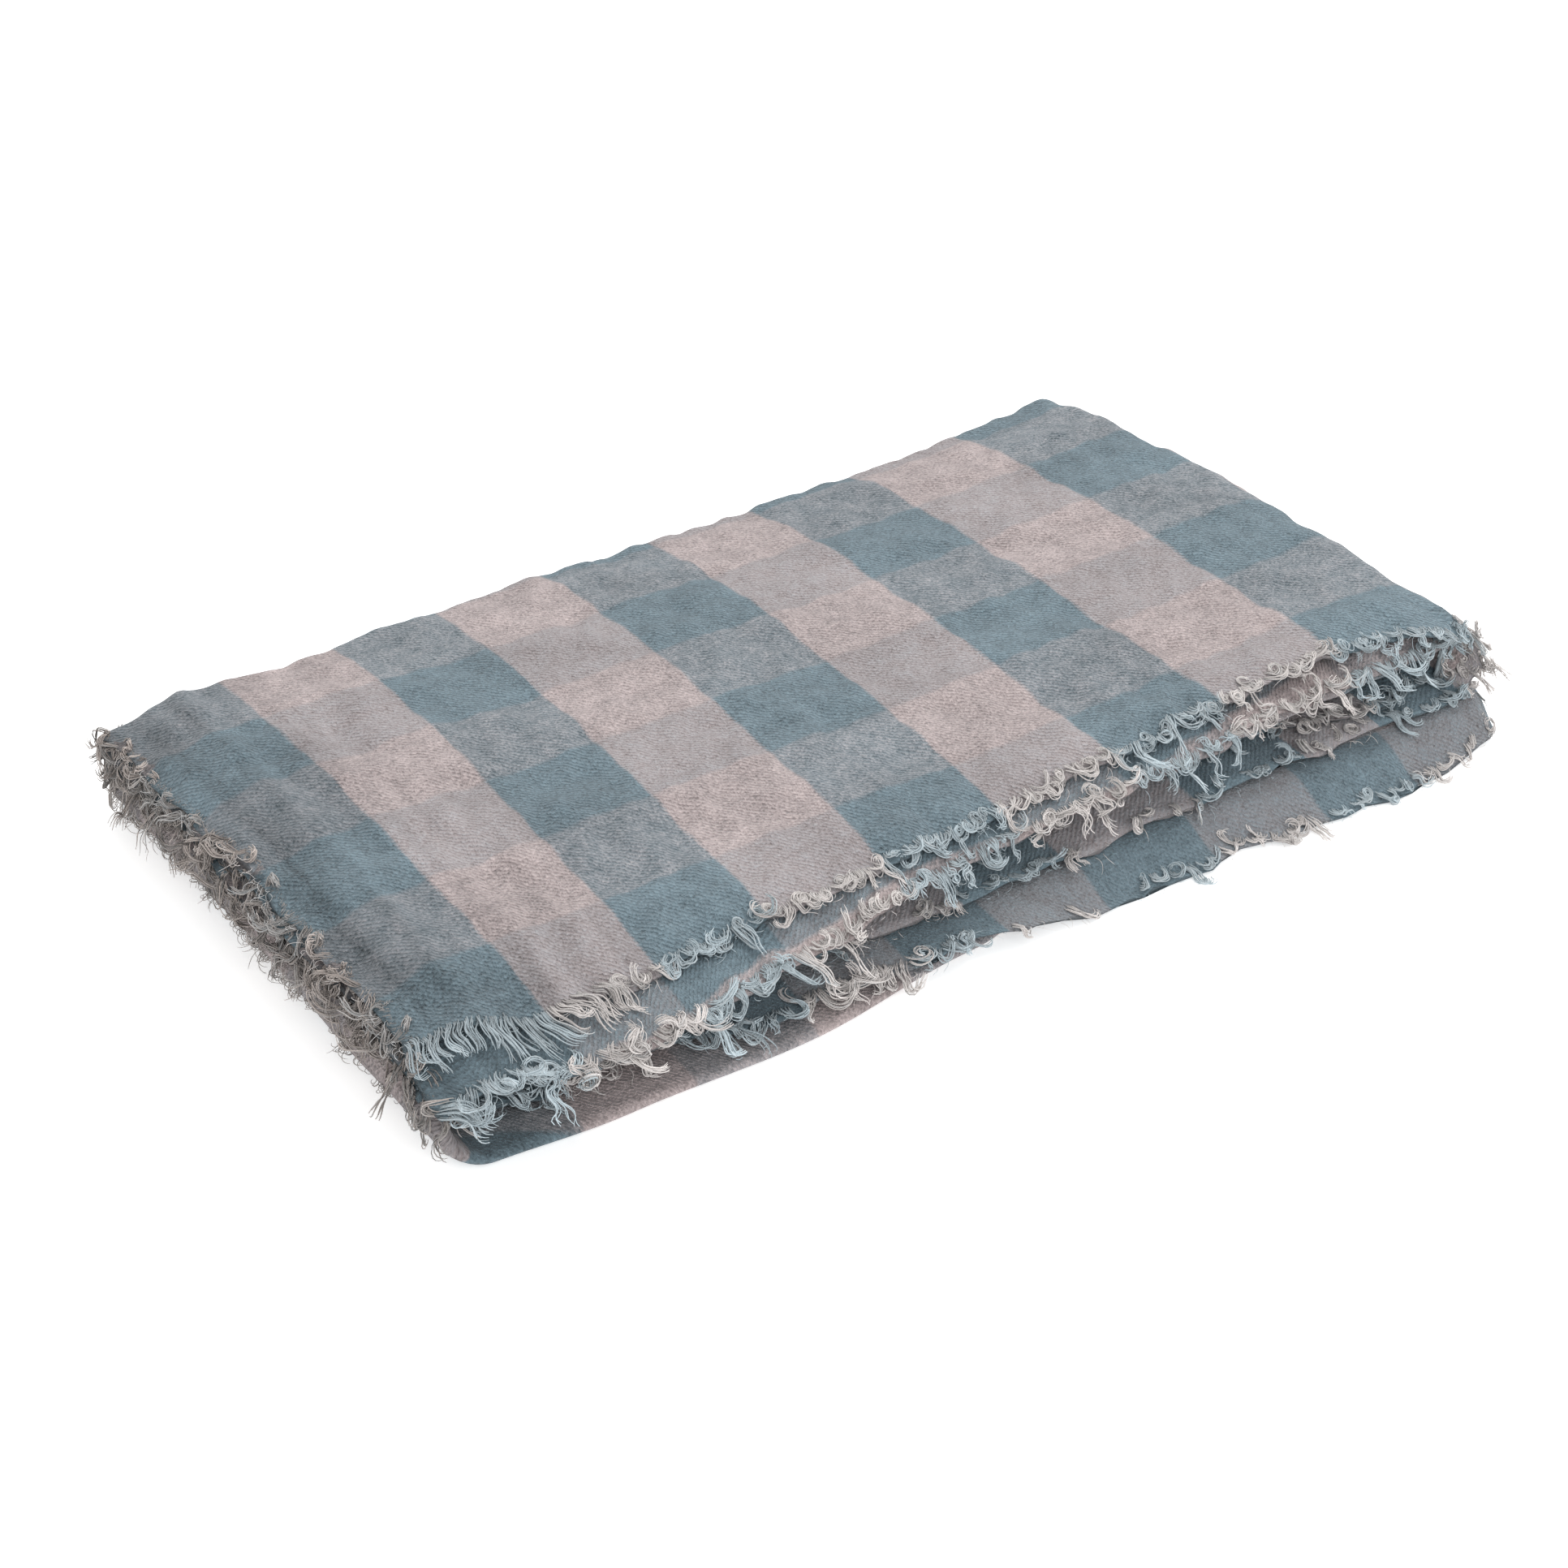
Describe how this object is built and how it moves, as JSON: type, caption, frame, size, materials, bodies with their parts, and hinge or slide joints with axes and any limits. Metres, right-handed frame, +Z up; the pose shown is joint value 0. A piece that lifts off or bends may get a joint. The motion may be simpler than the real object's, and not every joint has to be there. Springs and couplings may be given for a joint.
{
  "type": "folded checked throw with frayed edges",
  "caption": "Soft woven throw with a two-tone check and short frayed fringe on every edge, folded into a flat packet with its loose edges to the front and left; lies on a shelf, bed or sofa.",
  "frame": {"origin": "centre of the footprint, on the plane the bottom ply lies on", "axes": "+X along the packet towards its fold, with the loose fringed end at -X; +Y across the packet towards the back folds, with the loose fringed edges at -Y; +Z up"},
  "size_m": [0.6976, 0.4126, 0.0692],
  "materials": {
    "throw_cloth": "matte washed weave in a dusty blue and pale beige check, with frayed yarn fringe"
  },
  "bodies": {
    "root": {"throw": "throw_cloth"}
  },
  "joints": []
}
